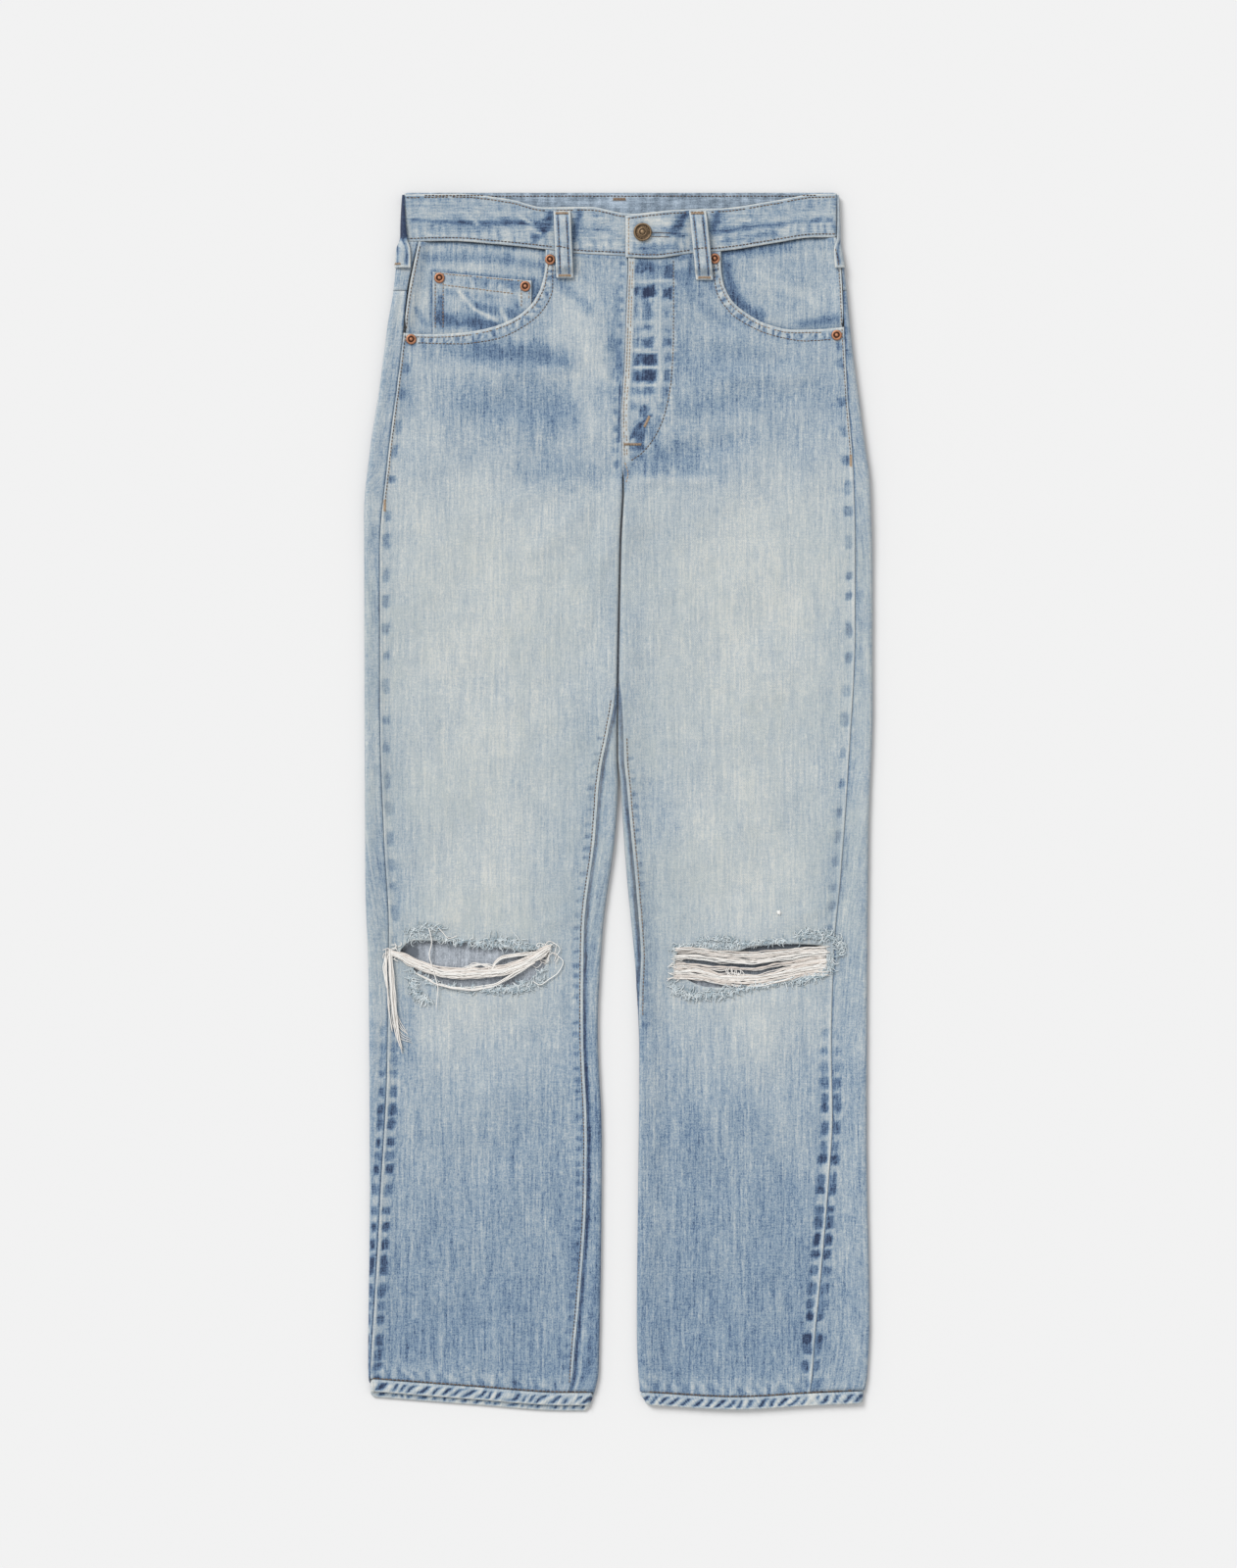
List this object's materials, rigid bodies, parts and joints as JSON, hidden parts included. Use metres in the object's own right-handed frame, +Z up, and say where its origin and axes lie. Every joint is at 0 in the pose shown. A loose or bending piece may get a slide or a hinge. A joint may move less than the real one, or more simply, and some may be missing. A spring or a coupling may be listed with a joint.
{
  "type": "ripped jeans",
  "caption": "Straight-leg washed denim trousers with torn knees, laid flat, with scooped front pockets, patch back pockets and a buttoned waistband.",
  "frame": {"origin": "on the surface that the jeans lie on, under the middle of their outline", "axes": "+Y towards the waistband, +Z up out of the front of the jeans, so the wearer's right leg is at -X"},
  "size_m": [0.4504, 1.0794, 0.0141],
  "materials": {
    "denim": "bleached indigo twill with vertical slubs, whiskers and worn seams",
    "denim_trim": "several thicknesses of the same twill, faded on the ridges and dark between them",
    "cotton": "plain off-white cotton",
    "thread": "faded tan and brown topstitching",
    "weft": "loose white weft threads across the torn knees",
    "copper": "worn copper",
    "bronze": "dark antique bronze, rubbed on the rim"
  },
  "bodies": {
    "root": {"front_panel_right": "denim", "front_panel_left": "denim", "back_panel_right": "denim", "back_panel_left": "denim", "yoke_right": "denim", "yoke_left": "denim", "hem_right": "denim_trim", "hem_left": "denim_trim", "waistband": "denim_trim", "pocket_facing_right": "denim", "pocket_facing_left": "denim", "pocket_bag_right": "cotton", "pocket_bag_left": "cotton", "coin_pocket": "denim", "back_pocket_right": "denim", "back_pocket_left": "denim", "fly_shield": "denim", "zip": "cotton", "belt_loop_front_right": "denim_trim", "belt_loop_front_left": "denim_trim", "belt_loop_back": "denim_trim", "belt_loop_side_right": "denim_trim", "belt_loop_side_left": "denim_trim", "waist_button": "bronze", "rivet_1": "copper", "rivet_2": "copper", "rivet_3": "copper", "rivet_4": "copper", "rivet_5": "copper", "rivet_6": "copper"}
  },
  "joints": []
}
